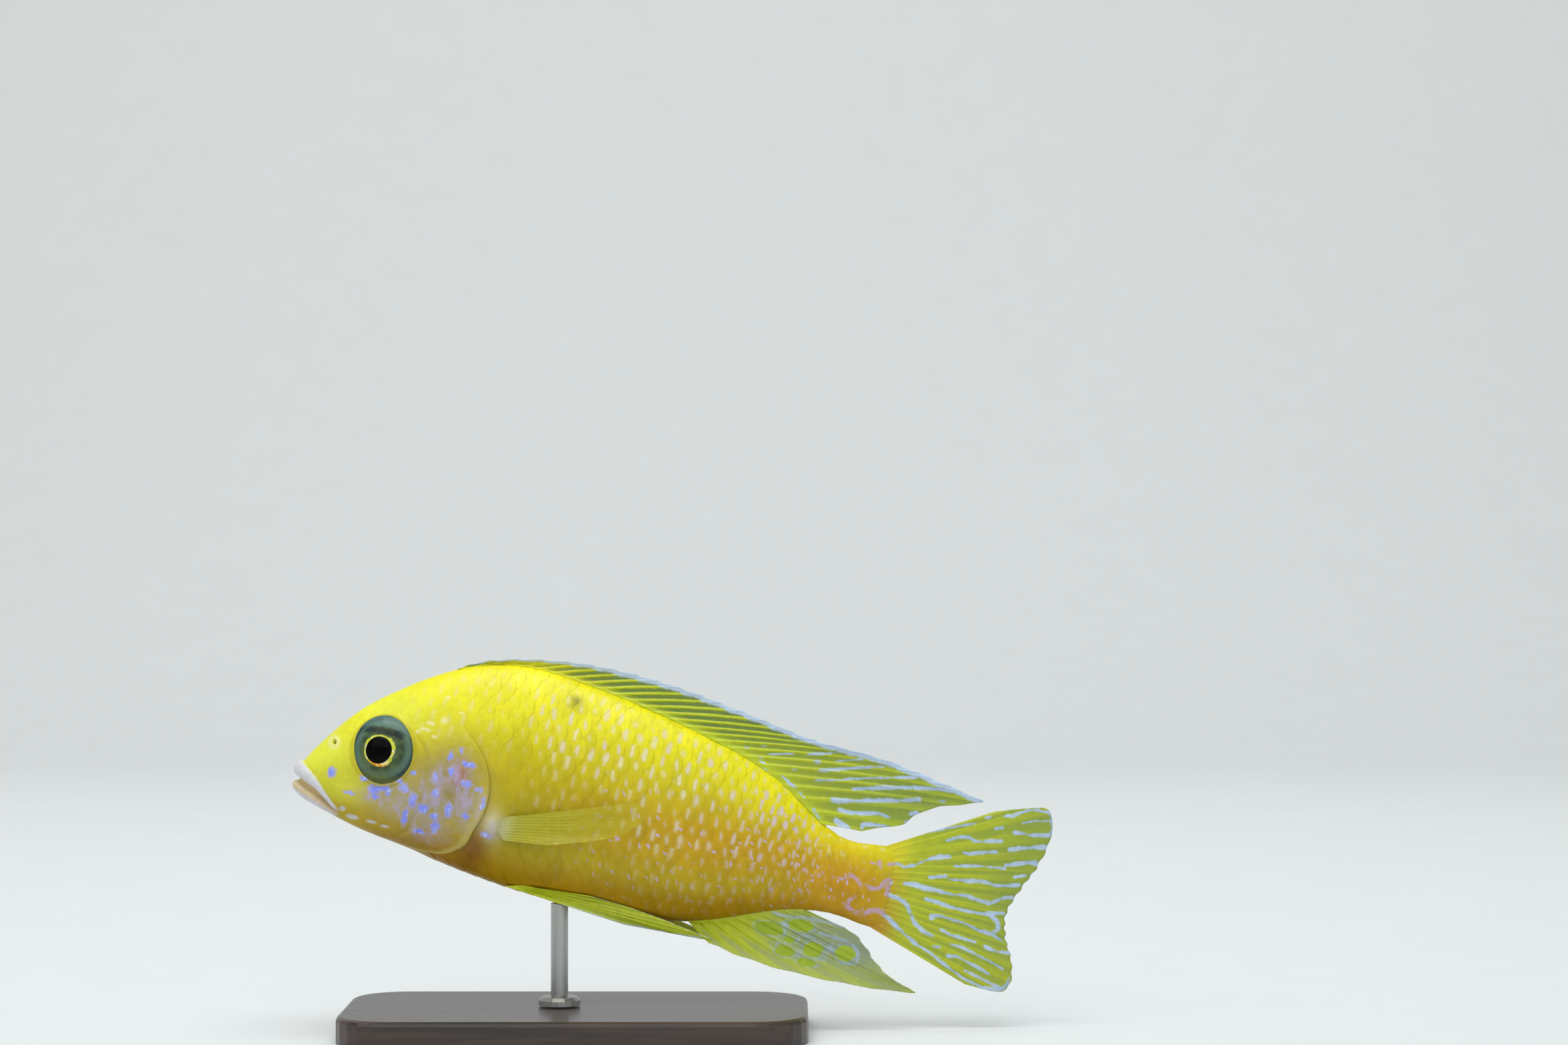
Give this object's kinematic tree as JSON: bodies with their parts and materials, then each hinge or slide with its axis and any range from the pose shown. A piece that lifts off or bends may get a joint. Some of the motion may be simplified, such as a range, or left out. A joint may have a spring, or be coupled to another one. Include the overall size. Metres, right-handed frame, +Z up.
{
  "type": "fish model",
  "caption": "Life-size display model of a yellow peacock cichlid, swimming nose-up with folded paired fins, on a rod over a flat rounded base.",
  "frame": {"origin": "on the floor under the middle of the fish's length and of the base's width", "axes": "+X from the snout towards the tail, +Y towards the fish's right, away from the camera of the picture, +Z up"},
  "size_m": [0.131, 0.042, 0.0644],
  "materials": {
    "head_skin": "satin painted skin",
    "body_skin": "satin painted scales",
    "stalk_skin": "satin painted scales",
    "eyes": "polished",
    "median_fins": "satin, a little see-through",
    "pectoral_fins": "satin, see-through",
    "pelvic_fins": "satin, a little see-through",
    "rod": "brushed",
    "base": "matte"
  },
  "bodies": {
    "root": {"head": "head_skin", "torso": "body_skin", "tail_stalk": "stalk_skin", "eye_right": "eyes", "eye_left": "eyes", "dorsal_fin": "median_fins", "anal_fin": "median_fins", "tail_fin": "median_fins", "pectoral_fin_right": "pectoral_fins", "pectoral_fin_left": "pectoral_fins", "pelvic_fin_right": "pelvic_fins", "pelvic_fin_left": "pelvic_fins", "stand_rod": "rod", "stand_base": "base"}
  },
  "joints": []
}
